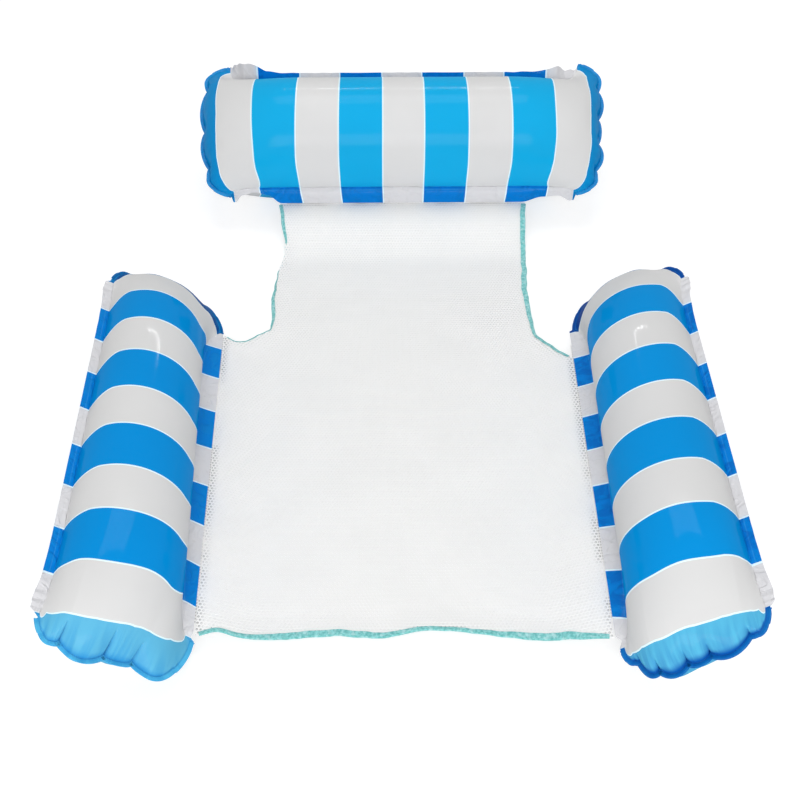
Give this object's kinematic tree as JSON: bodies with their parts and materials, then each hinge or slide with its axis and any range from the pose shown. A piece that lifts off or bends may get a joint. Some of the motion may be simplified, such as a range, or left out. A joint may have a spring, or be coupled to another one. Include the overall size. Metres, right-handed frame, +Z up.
{
  "type": "inflatable pool chair",
  "caption": "Floating lounge chair: striped inflated arm and head floats joined by a net seat with taped free edges; floats fold on flanges, air valves pop out.",
  "frame": {"origin": "centre of the bounding box, at the floor that the floats rest on", "axes": "+Y from the front edge of the seat to the head float, +Z up, +X to the right of the view from the front"},
  "size_m": [0.7978, 1.1871, 0.193],
  "materials": {
    "striped_film": "glossy PVC film printed with wide blue and white stripes",
    "valve_plastic": "soft milky clear PVC",
    "net_fabric": "open white warp-knit net",
    "edge_tape": "soft woven tape, pale teal"
  },
  "bodies": {
    "sling": {"seat_net": "net_fabric", "neck_net": "net_fabric", "left_edge_tape": "edge_tape", "right_edge_tape": "edge_tape", "front_edge_tape": "edge_tape"},
    "left_float": {"left_upper_film": "striped_film", "left_lower_film": "striped_film", "left_net_hem": "net_fabric", "left_valve_ring": "valve_plastic", "left_valve_well": "valve_plastic"},
    "left_valve": {"left_valve_stem": "valve_plastic", "left_valve_flap": "valve_plastic", "left_valve_tether": "valve_plastic"},
    "left_plug": {"left_valve_plug": "valve_plastic"},
    "right_float": {"right_upper_film": "striped_film", "right_lower_film": "striped_film", "right_net_hem": "net_fabric", "right_valve_ring": "valve_plastic", "right_valve_well": "valve_plastic"},
    "right_valve": {"right_valve_stem": "valve_plastic", "right_valve_flap": "valve_plastic", "right_valve_tether": "valve_plastic"},
    "right_plug": {"right_valve_plug": "valve_plastic"},
    "head_float": {"head_upper_film": "striped_film", "head_lower_film": "striped_film", "head_net_hem": "net_fabric", "head_valve_ring": "valve_plastic", "head_valve_well": "valve_plastic"},
    "head_valve": {"head_valve_stem": "valve_plastic", "head_valve_flap": "valve_plastic", "head_valve_tether": "valve_plastic"},
    "head_plug": {"head_valve_plug": "valve_plastic"}
  },
  "joints": [
    {"name": "left_float_fold", "type": "hinge", "parent": "sling", "child": "left_float", "pos_m": [-0.2348, -0.2511, 0.02119], "axis": [-0.0401, 0.9992, 0], "range_deg": [-60, 90]},
    {"name": "right_float_fold", "type": "hinge", "parent": "sling", "child": "right_float", "pos_m": [0.2442, -0.2431, 0.02119], "axis": [-0.0052, -1, 0], "range_deg": [-60, 90]},
    {"name": "head_float_fold", "type": "hinge", "parent": "sling", "child": "head_float", "pos_m": [0.0097, 0.3489, 0.03498], "axis": [0.9999, 0.0105, 0], "range_deg": [-70, 30]},
    {"name": "left_valve_pop", "type": "slide", "parent": "left_float", "child": "left_valve", "axis": [-0.9937, -0.0399, -0.1045], "range_m": [0, 0.01]},
    {"name": "right_valve_pop", "type": "slide", "parent": "right_float", "child": "right_valve", "axis": [0.9945, -0.0052, -0.1045], "range_m": [0, 0.01]},
    {"name": "head_valve_pop", "type": "slide", "parent": "head_float", "child": "head_valve", "axis": [-0.0101, 0.9612, -0.2756], "range_m": [0, 0.01]},
    {"name": "left_plug_pull", "type": "slide", "parent": "left_valve", "child": "left_plug", "axis": [-0.9937, -0.0399, -0.1045], "range_m": [0, 0.012]},
    {"name": "right_plug_pull", "type": "slide", "parent": "right_valve", "child": "right_plug", "axis": [0.9945, -0.0052, -0.1045], "range_m": [0, 0.012]},
    {"name": "head_plug_pull", "type": "slide", "parent": "head_valve", "child": "head_plug", "axis": [-0.0101, 0.9612, -0.2756], "range_m": [0, 0.012]}
  ]
}
